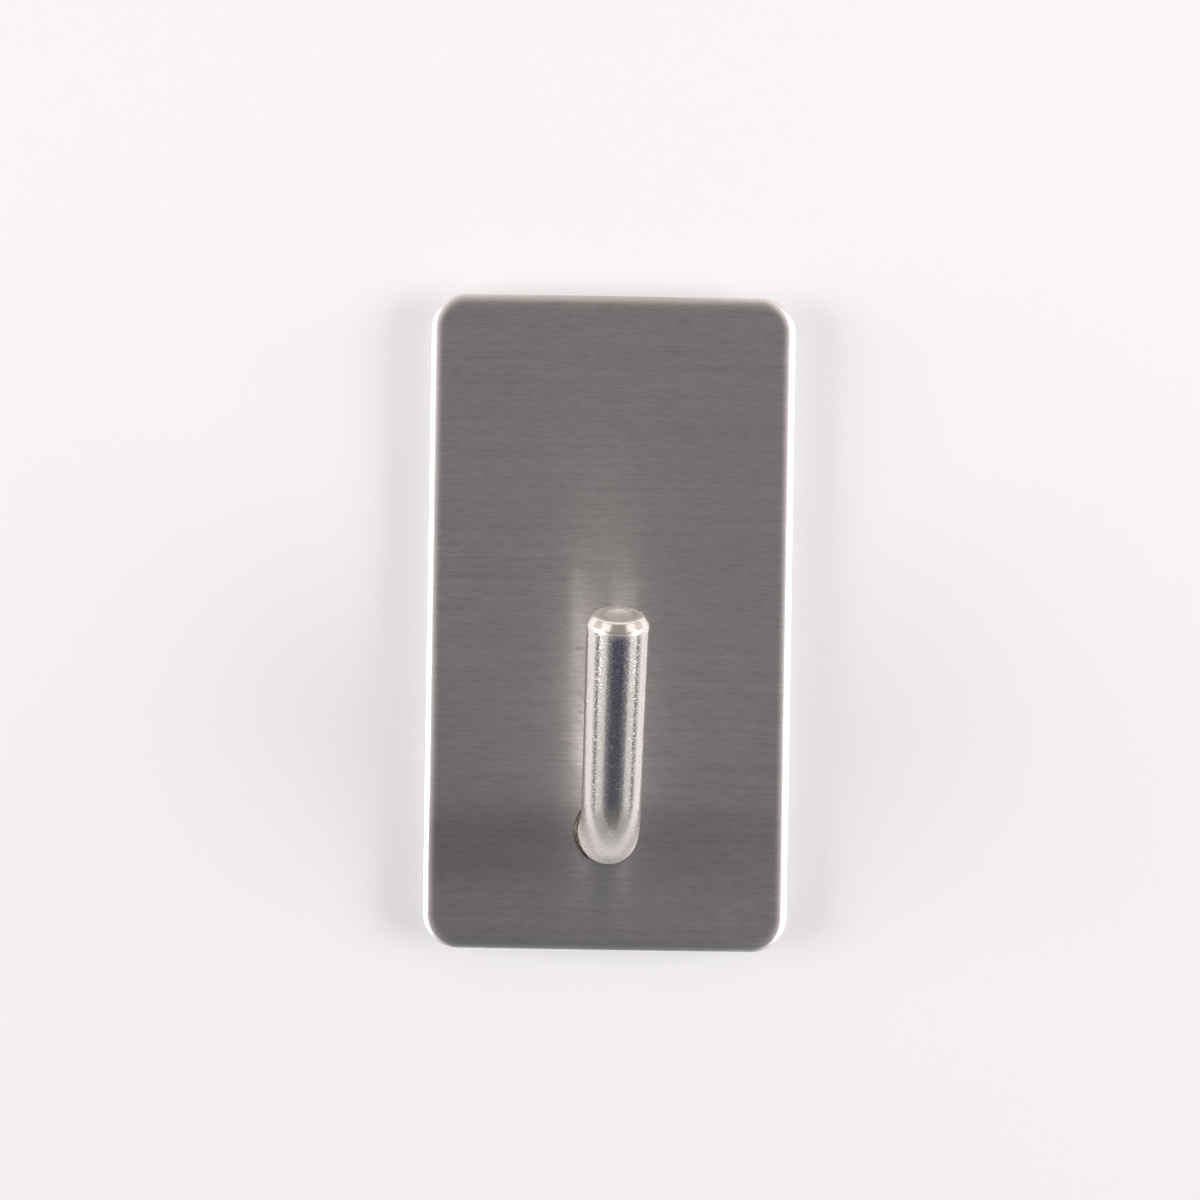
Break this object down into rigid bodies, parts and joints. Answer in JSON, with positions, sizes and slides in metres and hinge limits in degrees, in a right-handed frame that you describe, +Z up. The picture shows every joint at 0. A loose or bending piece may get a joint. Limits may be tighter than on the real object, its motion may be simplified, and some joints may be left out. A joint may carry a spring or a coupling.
{
  "type": "adhesive wall hook",
  "caption": "Upright brushed steel plate with a round bar hook welded low on its face, stuck to a wall by foam tape; towels, keys or utensils hang on the leaning bar.",
  "frame": {"origin": "centre of the tape's wall face, where it meets the wall", "axes": "+Y into the wall, +Z up along the plate's height, +X to the right seen from the front; the hook reaches towards -Y"},
  "size_m": [0.0334, 0.0197, 0.06],
  "materials": {
    "brushed_plate": "stainless sheet, brushed sideways",
    "bright_rod": "bright drawn stainless bar, lightly grained",
    "weld_metal": "bare weld with a faint straw tint",
    "adhesive": "tacky milky acrylic coat",
    "foam": "white closed-cell foam"
  },
  "bodies": {
    "root": {"face_plate": "brushed_plate", "hook_rod": "bright_rod", "root_weld": "weld_metal", "plate_adhesive": "adhesive", "foam_core": "foam", "wall_adhesive": "adhesive"}
  },
  "joints": []
}
